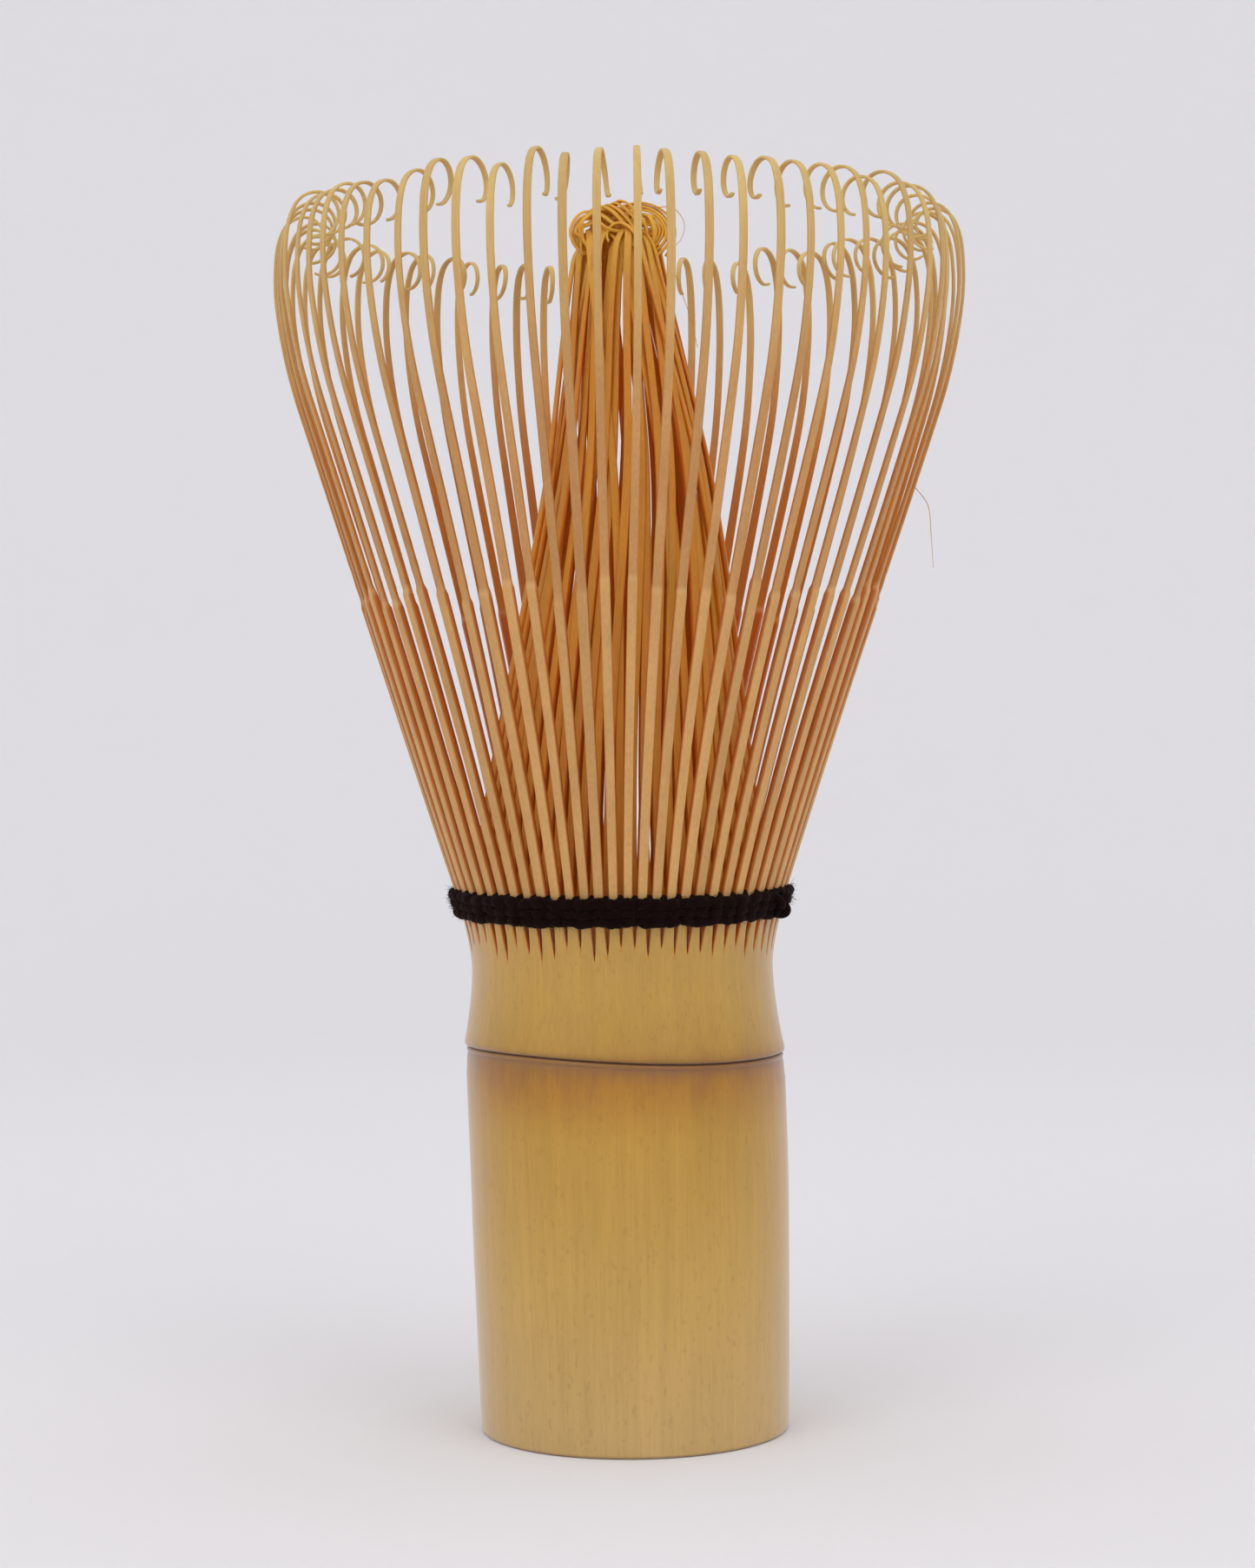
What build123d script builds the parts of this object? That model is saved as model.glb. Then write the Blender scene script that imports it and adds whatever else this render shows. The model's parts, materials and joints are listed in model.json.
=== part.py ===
"""Bamboo tea whisk: one culm of bamboo, split into tines and laced with a black cotton thread.

Millimetres, +Z up along the culm, origin at the centre of the foot that the whisk stands on.
Radii are measured from the culm's axis. Split 1 is centred on +X, and the numbers run round
anticlockwise as seen from above.
"""
from build123d import *
import os
from math import asin, cos, degrees, floor, hypot, radians, sin, tan

os.makedirs("parts", exist_ok=True)

# ---- Culm -----------------------------------------------------------------------------------
HANDLE_HEIGHT = 34.0       # foot to growth node
FOOT_RADIUS = 13.8
SHOULDER_RADIUS = 14.3     # widest part of the internode, just under the growth node
SHOULDER_BELOW_NODE = 3.0
SHOULDER_SHARE = 0.58      # of the swelling from foot to shoulder, reached half-way up
NODE_RADIUS = 14.5         # the ridge of the growth node
RIDGE_LOWER_INSET = 0.3    # how far the ridge's lower edge lies inside its crest
RIDGE_UPPER_INSET = 0.2
RIDGE_CREST_ABOVE_NODE = 0.5
RIDGE_TOP_ABOVE_NODE = 1.1
NODE_GROOVE_DEPTH = 0.35   # the crease under the ridge
CULM_BORE_RADIUS = 10.5
FOOT_CHAMFER = 0.35
SEPTUM_THICKNESS = 1.6
SEPTUM_DISH = 1.2          # how far the middle of the diaphragm hangs below its rim
SEPTUM_DISH_SHARE = 0.75   # of that depth, at half the bore's radius

# ---- Neck -----------------------------------------------------------------------------------
WAIST_RADIUS = 13.5
WAIST_ABOVE_NODE = 7.6
WAIST_SWELL = 0.28         # how far the wall stands outside the waist, half-way down to the node
BORE_TAPER_ABOVE_NODE = 2.0  # where the bore of the neck begins to widen
SLIT_START_ABOVE_NODE = 9.3
SLIT_UNEVENNESS = 0.8      # how much higher or lower a slit may start
SLIT_WIDTH = 0.42
SLIT_TAPER_LENGTH = 2.6    # the pointed foot of each slit
THREAD_ABOVE_NODE = 13.15  # middle of the lacing
HINGE_ABOVE_NODE = 14.65   # where the free length of a tine begins, just over the lacing
NECK_TOP_RADIUS = 14.99    # outer face of the flared wall where the free length begins
NECK_LEDGE_BELOW_SLITS = 0.3  # the ledge that the inner tines stand on
FLARE_STATIONS = 5         # heights at which the flared wall is drawn
SPLIT_GAP = 0.1            # between the fixed stub and the free length above it

# ---- Tines ----------------------------------------------------------------------------------
SPLITS = 16
TINES_PER_SPLIT = 4
TINES = SPLITS * TINES_PER_SPLIT
SHAFT_THICKNESS = 0.5      # thick lower length, from the lacing to the shaving step
BLADE_THICKNESS = 0.32     # shaved upper length
SHAVED_DEPTH = 0.06        # how far the shaved outer face lies inside the bark face
STEP_ABOVE_HINGE = 25.4
STEP_UNEVENNESS = 0.9

OUTER_LEAN = 18.0          # degrees outwards from the axis
OUTER_STRAIGHT_LENGTH = 44.45
OUTER_SHAFT_WIDTH = 0.94
OUTER_BLADE_WIDTH = 0.78
OUTER_TIP_WIDTH = 0.54
OUTER_TAPER = 0.04         # how much narrower the shaft is at the step than at the lacing
BLADE_TAPER = 0.08         # and the blade where it begins to bend than at the step
WAISTED_LENGTH = 0.3       # height over which the width drops at the step
TIP_TAPER_LENGTH = 14.0    # height over which the bent blade narrows to the tip's width
OUTLINE_SPARE = 40.0       # how far the front outline runs past the curl
OUTER_BLADE_ARCS = ((50.0, 11.0), (22.0, 14.0))            # radius, degrees
OUTER_CURL_ARCS = ((6.6, 20.0), (2.3, 63.0), (1.72, 90.0))  # radius, degrees
OUTER_TIP_RADIUS = 1.75
OUTER_TIP_TURN = 78.0
CURL_UNEVENNESS = 0.07     # share by which one tine's curl is larger or smaller than another's
TURN_UNEVENNESS = 0.25     # and share by which its tip turns more or less
SIDE_LEAN = 0.35           # degrees that a tine may lean towards a neighbour

INNER_FOOT_RADIUS = 12.4
INNER_BEND_RADIUS = 6.0
INNER_FOOT_LEAN = 13.0     # degrees outwards, below the lacing
INNER_WIDTH = 0.78
INNER_TIP_WIDTH = 0.46
INNER_TAPER = 0.1          # how much narrower the shaft is at the shaving step than at its foot
INNER_SHAFT_SHARE = 0.42   # of the straight run, from the bend to the shaving step
INNER_FOOT_BELOW_THREAD = 1.0  # where the foot ends and the bend inwards begins
INNER_TIP_LENGTH = 6.0     # height below the top over which the tip keeps one width
INNER_OUTLINE_SPARE = 10.0
INNER_TOP_RADIUS = 3.7     # of the outermost of the four layers, where its hook begins
INNER_TOP_HEIGHT = 107.0
LAYER_STEP = 0.72          # how much deeper in the bundle each next layer stands
LAYER_DROP = 1.15          # and how much lower it ends
INNER_HOOK_RADIUS = 2.3
HOOK_STEP = 0.5            # how much tighter each next layer's hook is
INNER_HOOK_TURN = 84.0

# ---- Thread ---------------------------------------------------------------------------------
THREAD_DEPTH = 0.6         # how far the courses stand out from the stubs
THREAD_VALLEY_DEPTH = 0.35 # the same, between two courses
THREAD_COURSES = 3
COURSE_PITCH = 0.8
THREAD_CLEARANCE = 0.03
CROSSING_RADIUS = 0.16     # the thread pulled thin where it crosses a slit
INNER_COURSE_DEPTH = 0.3
INNER_COURSE_HEIGHT = 0.9
KNOT_RADII = (0.45, 0.55, 0.4)
KNOT_AZIMUTH = -22.0       # on the right-hand side, a little towards the front
KNOT_STEP = 3.0            # degrees from one lump to the next
KNOT_RISE = 0.35           # and how much higher it sits

# ---- Heights and slopes that follow ------------------------------------------------------------
WAIST_HEIGHT = HANDLE_HEIGHT + WAIST_ABOVE_NODE
SLIT_START = HANDLE_HEIGHT + SLIT_START_ABOVE_NODE
LEDGE_HEIGHT = SLIT_START - NECK_LEDGE_BELOW_SLITS
THREAD_HEIGHT = HANDLE_HEIGHT + THREAD_ABOVE_NODE
STUB_TOP = HANDLE_HEIGHT + HINGE_ABOVE_NODE - SPLIT_GAP / 2
TINE_FOOT = STUB_TOP + SPLIT_GAP
HINGE_HEIGHT = HANDLE_HEIGHT + HINGE_ABOVE_NODE
SLIT_PITCH = 360 / TINES
SHOULDER_HEIGHT = HANDLE_HEIGHT - SHOULDER_BELOW_NODE
OUTER_SLOPE = radians(OUTER_LEAN)
FOOT_SLOPE = radians(INNER_FOOT_LEAN)
TRIM_OVERLAP = 0.5         # how far a tine is drawn below its foot before it is trimmed level
CUT_REACH = 100.0          # longer than the whisk is wide


def uneven(number, trait):
    """A repeatable value from -1 to 1, different for every tine and every trait."""
    value = sin(number * 12.9898 + trait * 78.233) * 43758.5453
    return 2 * (value - floor(value)) - 1


def slit_azimuth(number):
    """Direction of the slit on the anticlockwise side of a tine."""
    return SLIT_PITCH * (number + 0.5) - SLIT_PITCH * (TINES_PER_SPLIT - 1) / 2


def tine_azimuth(number):
    """Direction of a tine. The four tines of split 1 lie evenly on both sides of +X."""
    return slit_azimuth(number) - SLIT_PITCH / 2


def flare_radius(height):
    """Radius of the neck's outer face above the waist, which flares more and more up to the tines."""
    share = (height - WAIST_HEIGHT) / (STUB_TOP - WAIST_HEIGHT)
    return WAIST_RADIUS + (NECK_TOP_RADIUS - WAIST_RADIUS) * share**1.5


def side_outline(start, lean, moves, thickness):
    """Outline of one bamboo strip seen from the side, in radius and height.

    Its centre line starts at `start`, leans `lean` degrees outwards and follows `moves`:
    (length, 0) is straight, (radius, degrees) is an arc that turns towards the axis.
    """
    with BuildLine() as outline:
        corners = []
        for side in (1, -1):
            heading = 90 - lean
            point = Vector(*start) + Vector(side * thickness / 2, 0).rotate(Axis.Z, -lean)
            corners.append(point)
            for size, turn in moves:
                if turn == 0:
                    edge = PolarLine(point, size, heading)
                else:
                    tangent = Vector(1, 0).rotate(Axis.Z, heading)
                    edge = JernArc(point, tangent, size + side * thickness / 2, turn)
                heading += turn
                point = edge @ 1
            corners.append(point)
        outer_start, outer_end, inner_start, inner_end = corners
        Line(outer_start, inner_start)
        Line(outer_end, inner_end)
    return outline.edges()


def front_outline(stations):
    """Outline of one strip seen from outside: (height, width) stations, bottom to top."""
    with BuildLine() as outline:
        right = [(width / 2, height) for height, width in stations]
        left = [(-width / 2, height) for height, width in reversed(stations)]
        Polyline(*right, *left, close=True)
    return outline.edges()


def make_outer_tine(number):
    """The free length of one outer tine, at azimuth 0."""
    centre_radius = NECK_TOP_RADIUS - SHAFT_THICKNESS / 2
    start = (centre_radius - TRIM_OVERLAP * tan(OUTER_SLOPE), STUB_TOP - TRIM_OVERLAP)
    drawn_length = OUTER_STRAIGHT_LENGTH + TRIM_OVERLAP / cos(OUTER_SLOPE)
    step_height = HINGE_HEIGHT + STEP_ABOVE_HINGE + STEP_UNEVENNESS * uneven(number, 1)
    shaft_length = (step_height - start[1]) / cos(OUTER_SLOPE)
    inset = SHAFT_THICKNESS / 2 - SHAVED_DEPTH - BLADE_THICKNESS / 2
    blade_start = (
        start[0] + shaft_length * sin(OUTER_SLOPE) + inset * cos(OUTER_SLOPE),
        start[1] + shaft_length * cos(OUTER_SLOPE) - inset * sin(OUTER_SLOPE),
    )
    scale = 1 + CURL_UNEVENNESS * uneven(number, 2)
    tip_turn = OUTER_TIP_TURN * (1 + TURN_UNEVENNESS * uneven(number, 3))
    curl = [(radius * scale, turn) for radius, turn in OUTER_CURL_ARCS]
    blade = [
        (drawn_length - shaft_length, 0),
        *OUTER_BLADE_ARCS,
        *curl,
        (OUTER_TIP_RADIUS * scale, tip_turn),
    ]
    bend_height = TINE_FOOT + OUTER_STRAIGHT_LENGTH * cos(OUTER_SLOPE)
    stations = [
        (TINE_FOOT, OUTER_SHAFT_WIDTH),
        (step_height, OUTER_SHAFT_WIDTH - OUTER_TAPER),
        (step_height + WAISTED_LENGTH, OUTER_BLADE_WIDTH),
        (bend_height, OUTER_BLADE_WIDTH - BLADE_TAPER),
        (bend_height + TIP_TAPER_LENGTH, OUTER_TIP_WIDTH),
        (bend_height + OUTLINE_SPARE, OUTER_TIP_WIDTH),
    ]
    with BuildPart() as tine:
        with BuildSketch(Plane.XZ):
            make_face(side_outline(start, OUTER_LEAN, [(shaft_length, 0)], SHAFT_THICKNESS))
            make_face(side_outline(blade_start, OUTER_LEAN, blade, BLADE_THICKNESS))
        extrude(amount=OUTER_SHAFT_WIDTH, both=True)
        with BuildSketch(Plane.YZ):
            make_face(front_outline(stations))
        extrude(amount=CUT_REACH, mode=Mode.INTERSECT)
    return tine.part


def make_inner_tine(number):
    """One inner tine at azimuth 0: up beside the lacing, then inwards to the gathered bundle."""
    layer = number % TINES_PER_SPLIT
    foot = (INNER_FOOT_RADIUS, LEDGE_HEIGHT)
    foot_length = (THREAD_HEIGHT - INNER_FOOT_BELOW_THREAD - LEDGE_HEIGHT) / cos(FOOT_SLOPE)
    top_radius = INNER_TOP_RADIUS - LAYER_STEP * layer
    top_height = INNER_TOP_HEIGHT - LAYER_DROP * layer
    # the arc's centre, and the straight run from it that is tangent to the arc
    centre = (
        foot[0] + foot_length * sin(FOOT_SLOPE) - INNER_BEND_RADIUS * cos(FOOT_SLOPE),
        foot[1] + foot_length * cos(FOOT_SLOPE) + INNER_BEND_RADIUS * sin(FOOT_SLOPE),
    )
    reach = hypot(top_radius - centre[0], top_height - centre[1])
    run_length = (reach**2 - INNER_BEND_RADIUS**2) ** 0.5
    towards_top = degrees(asin((top_radius - centre[0]) / reach))
    inward_lean = degrees(asin(INNER_BEND_RADIUS / reach)) - towards_top
    inward_slope = radians(inward_lean)
    shaft_length = run_length * INNER_SHAFT_SHARE
    moves = [
        (foot_length, 0),
        (INNER_BEND_RADIUS, INNER_FOOT_LEAN + inward_lean),
        (shaft_length, 0),
    ]
    hook_radius = INNER_HOOK_RADIUS - HOOK_STEP * layer
    blade_start = (
        centre[0] + INNER_BEND_RADIUS * cos(inward_slope) - shaft_length * sin(inward_slope),
        centre[1] + INNER_BEND_RADIUS * sin(inward_slope) + shaft_length * cos(inward_slope),
    )
    blade = [
        (run_length - shaft_length, 0),
        (hook_radius, INNER_HOOK_TURN - inward_lean),
    ]
    stations = [
        (LEDGE_HEIGHT, INNER_WIDTH),
        (blade_start[1], INNER_WIDTH - INNER_TAPER),
        (top_height - INNER_TIP_LENGTH, INNER_TIP_WIDTH),
        (top_height + INNER_OUTLINE_SPARE, INNER_TIP_WIDTH),
    ]
    with BuildPart() as tine:
        with BuildSketch(Plane.XZ):
            make_face(side_outline(foot, INNER_FOOT_LEAN, moves, SHAFT_THICKNESS))
            make_face(side_outline(blade_start, -inward_lean, blade, BLADE_THICKNESS))
        extrude(amount=INNER_WIDTH, both=True)
        with BuildSketch(Plane.YZ):
            make_face(front_outline(stations))
        extrude(amount=CUT_REACH, mode=Mode.INTERSECT)
    return tine.part


def tines_of(split):
    """The numbers of the tines that one first split is cut into."""
    return range(split * TINES_PER_SPLIT, (split + 1) * TINES_PER_SPLIT)


def make_outer_split(split):
    with BuildPart() as outer_split:
        for number in tines_of(split):
            tine = make_outer_tine(number)
            about_hinge = Pos(0, 0, HINGE_HEIGHT) * Rot(SIDE_LEAN * uneven(number, 4), 0, 0)
            aside = about_hinge * Pos(0, 0, -HINGE_HEIGHT)
            with Locations(Rot(0, 0, tine_azimuth(number)) * aside):
                add(tine)
    outer_split.part.label = f"outer_split_{split + 1:02d}"
    return outer_split.part


def make_inner_split(split):
    with BuildPart() as inner_split:
        for number in tines_of(split):
            tine = make_inner_tine(number)
            with Locations(Rot(0, 0, tine_azimuth(number))):
                add(tine)
    inner_split.part.label = f"inner_split_{split + 1:02d}"
    return inner_split.part


# ---- Handle: the internode below the growth node -----------------------------------------------
MIDDLE_RADIUS = FOOT_RADIUS + (SHOULDER_RADIUS - FOOT_RADIUS) * SHOULDER_SHARE
with BuildPart() as handle:
    with BuildSketch(Plane.XZ):
        with BuildLine():
            side = ThreePointArc(
                (FOOT_RADIUS, FOOT_CHAMFER),
                (MIDDLE_RADIUS, SHOULDER_HEIGHT / 2),
                (SHOULDER_RADIUS, SHOULDER_HEIGHT),
            )
            groove = TangentArc(
                side @ 1,
                (SHOULDER_RADIUS - NODE_GROOVE_DEPTH, HANDLE_HEIGHT),
                tangent=side % 1,
            )
            Polyline(
                groove @ 1,
                (CULM_BORE_RADIUS, HANDLE_HEIGHT),
                (CULM_BORE_RADIUS, FOOT_CHAMFER),
                (CULM_BORE_RADIUS + FOOT_CHAMFER, 0),
                (FOOT_RADIUS - FOOT_CHAMFER, 0),
                side @ 0,
            )
        make_face()
    revolve(axis=Axis.Z)
handle.part.label = "handle"
export_step(handle.part, "parts/handle.step")

# ---- Septum: the diaphragm across the culm at the growth node -----------------------------------
SEPTUM_MIDDLE_HEIGHT = HANDLE_HEIGHT - SEPTUM_DISH * SEPTUM_DISH_SHARE
with BuildPart() as node_septum:
    with BuildSketch(Plane.XZ):
        with BuildLine():
            upper = ThreePointArc(
                (0, HANDLE_HEIGHT - SEPTUM_DISH),
                (CULM_BORE_RADIUS / 2, SEPTUM_MIDDLE_HEIGHT),
                (CULM_BORE_RADIUS, HANDLE_HEIGHT),
            )
            lower = ThreePointArc(
                (0, HANDLE_HEIGHT - SEPTUM_DISH - SEPTUM_THICKNESS),
                (CULM_BORE_RADIUS / 2, SEPTUM_MIDDLE_HEIGHT - SEPTUM_THICKNESS),
                (CULM_BORE_RADIUS, HANDLE_HEIGHT - SEPTUM_THICKNESS),
            )
            Line(upper @ 0, lower @ 0)
            Line(upper @ 1, lower @ 1)
        make_face()
    revolve(axis=Axis.Z)
node_septum.part.label = "node_septum"
export_step(node_septum.part, "parts/node_septum.step")

# ---- Neck ring: the culm above the growth node, slit into the stubs of the outer tines ----------
with BuildPart() as neck_ring:
    with BuildSketch(Plane.XZ):
        with BuildLine():
            rise = (STUB_TOP - WAIST_HEIGHT) / FLARE_STATIONS
            heights = [WAIST_HEIGHT + rise * station for station in range(FLARE_STATIONS + 1)]
            ridge = ThreePointArc(
                (NODE_RADIUS - RIDGE_LOWER_INSET, HANDLE_HEIGHT),
                (NODE_RADIUS, HANDLE_HEIGHT + RIDGE_CREST_ABOVE_NODE),
                (NODE_RADIUS - RIDGE_UPPER_INSET, HANDLE_HEIGHT + RIDGE_TOP_ABOVE_NODE),
            )
            waist = Spline(
                ridge @ 1,
                (WAIST_RADIUS + WAIST_SWELL, HANDLE_HEIGHT + WAIST_ABOVE_NODE / 2),
                (WAIST_RADIUS, WAIST_HEIGHT),
                tangents=((-0.5, 1), (0, 1)),
            )
            flare = Spline(
                *[(flare_radius(height), height) for height in heights],
                tangents=((0, 1), (tan(OUTER_SLOPE), 1)),
            )
            inside = Spline(
                *[
                    (flare_radius(height) - SHAFT_THICKNESS, height)
                    for height in [LEDGE_HEIGHT] + heights[2:]
                ]
            )
            Line(flare @ 1, inside @ 1)
            Polyline(
                inside @ 0,
                (INNER_FOOT_RADIUS - SHAFT_THICKNESS, LEDGE_HEIGHT),
                (CULM_BORE_RADIUS, HANDLE_HEIGHT + BORE_TAPER_ABOVE_NODE),
                (CULM_BORE_RADIUS, HANDLE_HEIGHT),
                ridge @ 0,
            )
        make_face()
    revolve(axis=Axis.Z)
    for number in range(TINES):
        azimuth = slit_azimuth(number)
        outwards = Vector(1, 0).rotate(Axis.Z, azimuth)
        start = SLIT_START + SLIT_UNEVENNESS * uneven(number, 5)
        across = Vector(0, 1).rotate(Axis.Z, azimuth)
        with BuildSketch(Plane((0, 0, 0), x_dir=across, z_dir=outwards)):
            with BuildLine():
                Polyline(
                    (0, start),
                    (SLIT_WIDTH / 2, start + SLIT_TAPER_LENGTH),
                    (SLIT_WIDTH / 2, STUB_TOP + 1),
                    (-SLIT_WIDTH / 2, STUB_TOP + 1),
                    (-SLIT_WIDTH / 2, start + SLIT_TAPER_LENGTH),
                    close=True,
                )
            make_face()
        extrude(amount=CUT_REACH, mode=Mode.SUBTRACT)
neck_ring.part.label = "neck_ring"
export_step(neck_ring.part, "parts/neck_ring.step")

# ---- Outer and inner splits ---------------------------------------------------------------------
for split in range(SPLITS):
    outer_split_part = make_outer_split(split)
    export_step(outer_split_part, f"parts/{outer_split_part.label}.step")
    inner_split_part = make_inner_split(split)
    export_step(inner_split_part, f"parts/{inner_split_part.label}.step")

# ---- Binding thread: three outer courses, one between the two layers, a crossing in every slit --
def band_point(height, depth):
    """A point of the outer courses' section, `depth` outside the stubs' faces."""
    return (flare_radius(height) + 2 * THREAD_CLEARANCE + depth, height)


def inner_course_point(height, depth):
    """A point of the inner course's section, `depth` inside the stubs' inner faces."""
    return (flare_radius(height) - SHAFT_THICKNESS - THREAD_CLEARANCE - depth, height)


with BuildPart() as binding_thread:
    with BuildSketch(Plane.XZ):
        with BuildLine():
            foot = THREAD_HEIGHT - COURSE_PITCH * THREAD_COURSES / 2
            for course in range(THREAD_COURSES):
                low = foot + COURSE_PITCH * course
                ThreePointArc(
                    band_point(low, THREAD_VALLEY_DEPTH),
                    band_point(low + COURSE_PITCH / 2, THREAD_DEPTH),
                    band_point(low + COURSE_PITCH, THREAD_VALLEY_DEPTH),
                )
            top = foot + COURSE_PITCH * THREAD_COURSES
            Polyline(
                band_point(top, THREAD_VALLEY_DEPTH),
                band_point(top, 0),
                band_point(THREAD_HEIGHT, 0),
                band_point(foot, 0),
                band_point(foot, THREAD_VALLEY_DEPTH),
            )
        make_face()
        with BuildLine():
            low = THREAD_HEIGHT - INNER_COURSE_HEIGHT / 2
            high = THREAD_HEIGHT + INNER_COURSE_HEIGHT / 2
            Polyline(
                inner_course_point(low, 0),
                inner_course_point(high, 0),
                inner_course_point(high, INNER_COURSE_DEPTH),
                inner_course_point(low, INNER_COURSE_DEPTH),
                close=True,
            )
        make_face()
    revolve(axis=Axis.Z)
    crossing_start = inner_course_point(THREAD_HEIGHT, INNER_COURSE_DEPTH / 2)[0]
    crossing_length = band_point(THREAD_HEIGHT, THREAD_DEPTH / 2)[0] - crossing_start
    for number in range(TINES):
        outwards = Vector(1, 0).rotate(Axis.Z, slit_azimuth(number))
        middle = outwards * crossing_start + Vector(0, 0, THREAD_HEIGHT)
        with BuildSketch(Plane(middle, z_dir=outwards)):
            Circle(CROSSING_RADIUS)
        extrude(amount=crossing_length)
binding_thread.part.label = "binding_thread"
export_step(binding_thread.part, "parts/binding_thread.step")

# ---- Knot that ends the lacing --------------------------------------------------------------------
with BuildPart() as thread_knot:
    knot_radius = band_point(THREAD_HEIGHT + COURSE_PITCH, THREAD_DEPTH)[0] + THREAD_CLEARANCE
    for lump, size in enumerate(KNOT_RADII):
        azimuth = KNOT_AZIMUTH + KNOT_STEP * (lump - 1)
        place = Vector(knot_radius + size, 0).rotate(Axis.Z, azimuth)
        with Locations((place.X, place.Y, THREAD_HEIGHT + KNOT_RISE * (lump - 1))):
            Sphere(size)
thread_knot.part.label = "thread_knot"
export_step(thread_knot.part, "parts/thread_knot.step")
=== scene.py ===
"""Looks of the bamboo tea whisk: split bamboo tines, carved culm and laced cotton thread.

Shape work is in millimetres and leaves it at make_object(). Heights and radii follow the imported
model: the hinge line just over the lacing, the neck ring's top and the foot.
"""

import json
import math
import random

import bmesh
import bpy
from mathutils import Matrix, Vector, noise


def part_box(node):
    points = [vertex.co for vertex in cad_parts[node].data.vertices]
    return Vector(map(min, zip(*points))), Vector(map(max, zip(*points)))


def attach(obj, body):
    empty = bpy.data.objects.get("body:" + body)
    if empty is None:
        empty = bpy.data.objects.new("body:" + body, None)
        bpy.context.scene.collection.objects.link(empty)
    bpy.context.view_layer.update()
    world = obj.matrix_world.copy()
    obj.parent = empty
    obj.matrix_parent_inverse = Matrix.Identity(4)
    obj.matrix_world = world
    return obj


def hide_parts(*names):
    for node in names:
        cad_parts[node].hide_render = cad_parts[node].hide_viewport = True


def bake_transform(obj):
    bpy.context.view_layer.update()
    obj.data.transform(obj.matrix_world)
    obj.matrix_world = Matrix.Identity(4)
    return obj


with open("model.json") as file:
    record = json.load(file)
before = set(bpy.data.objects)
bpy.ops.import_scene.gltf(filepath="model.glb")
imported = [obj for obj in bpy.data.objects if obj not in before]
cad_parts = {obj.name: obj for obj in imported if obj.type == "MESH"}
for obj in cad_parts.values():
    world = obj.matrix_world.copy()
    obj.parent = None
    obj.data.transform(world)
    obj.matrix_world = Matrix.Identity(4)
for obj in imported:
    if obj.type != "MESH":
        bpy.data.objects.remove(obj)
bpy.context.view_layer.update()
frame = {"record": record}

MM = 0.001
SEED = 7

# ---- Sizes read from the frame ------------------------------------------------------------------
JOINTS = frame["record"]["behaviour"]["joints"]
SPLITS = len(JOINTS)
TINES_PER_SPLIT = 4
TINES = SPLITS * TINES_PER_SPLIT
PITCH = 2 * math.pi / TINES
HINGE_Z = JOINTS[0]["pos_m"][2] / MM
HINGE_R = math.hypot(JOINTS[0]["pos_m"][0], JOINTS[0]["pos_m"][1]) / MM
NODE_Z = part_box("handle")[1].z / MM

# ---- Culm and neck ------------------------------------------------------------------------------
FOOT_R = 13.8
BORE_R = 10.5
SHOULDER_R = 14.3
WAIST_Z = NODE_Z + 7.6
WAIST_R = 13.5
SLIT_Z = NODE_Z + 9.3
THREAD_Z = NODE_Z + 13.15
FLARE_R = HINGE_R + 0.25    # bark face of the stubs at the hinge line
SEPTUM_T = 1.6
SEPTUM_DISH = 1.2           # how far the middle of the diaphragm hangs below its rim
SEPTUM_HOLD = 0.5           # how far its rim reaches into the wall
WALL_END_DROP = 2.2         # how far under the node the plain wall ends and the crease starts
FOOT_LIFT = 0.32            # where the foot's rounded edge ends
NECK_WALL = 3.2
NODE_FLARE = 0.95           # how far the neck stands outside the waist at the node
LEDGE_DROP = 0.6            # where the neck's wall is down to a stub's thickness, under the slits
STUB_END = HINGE_Z - 0.8    # top of the fixed stubs, hidden in the lacing
LIP_Z = NODE_Z + 0.8        # where the neck's wall starts, over the lip
SLIT_W = 0.56
SLIT_TAPER = 2.7            # height of a slit's pointed foot
SLIT_EDGE_DROP = 0.05

# ---- Tines ----------------------------------------------------------------------------------------
LEAN = math.radians(18.0)
STRIP_BEVEL = 0.07
STRIP_CROWN = 0.05          # how far the bark face bulges, as a share of the strip's half width
SHAFT_T = 0.6
BLADE_T = 0.32
BLADE_T_LOSS = 0.09         # how much thinner a blade is at its tip
SHAFT_W = 0.88
SHAFT_W_SPREAD = 0.04       # how much wider a shaft is above the lacing than in it
BLADE_W = 0.84
BLADE_TAPER = 0.16          # what a blade loses on the way up
TIP_TAPER = 0.28            # and what it loses in the curl
STEP_Z = HINGE_Z + 25.4     # the shaving step
STEP_SPREAD = 0.9
ABOVE_ALL = 200.0           # a height over the whole whisk
OUTER_START_Z = THREAD_Z - 0.8
OUTER_REACH = 44.45         # straight length above the hinge line
OUTER_FIRST = 0.55          # share of it that bows one way, before the rest bows back
# radius, degrees, steps, and the share of the tine's own twist
OUTER_BEND_ARCS = ((50, 11, 18, 0.0), (22, 14, 10, 0.3))
OUTER_CURL_ARCS = ((6.6, 20, 6, 0.5), (2.3, 63, 11, 1.0), (1.72, 90, 14, 1.5))
OUTER_TIP_R = 1.75
OUTER_TIP_TURN = 84
RUNG_PITCH = 0.62           # the knife's fine cross marks just above the step
RUNG_HEIGHT = 0.035
INNER_FOOT = Vector((12.4, 0, SLIT_Z - 0.3))
INNER_LEAN = math.radians(13)
INNER_FOOT_RUN = 3.2
INNER_BEND_R = 6
INNER_TOP_R = 4.0           # of the outermost of the four layers
INNER_LAYER = 0.4           # how much deeper in the bundle each next layer stands
INNER_TOP_Z = 105.2
INNER_BELLY = math.radians(2)
INNER_W = 1.04
INNER_SHAFT_T = 0.5
INNER_BLADE_T_LOSS = 0.28
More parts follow.
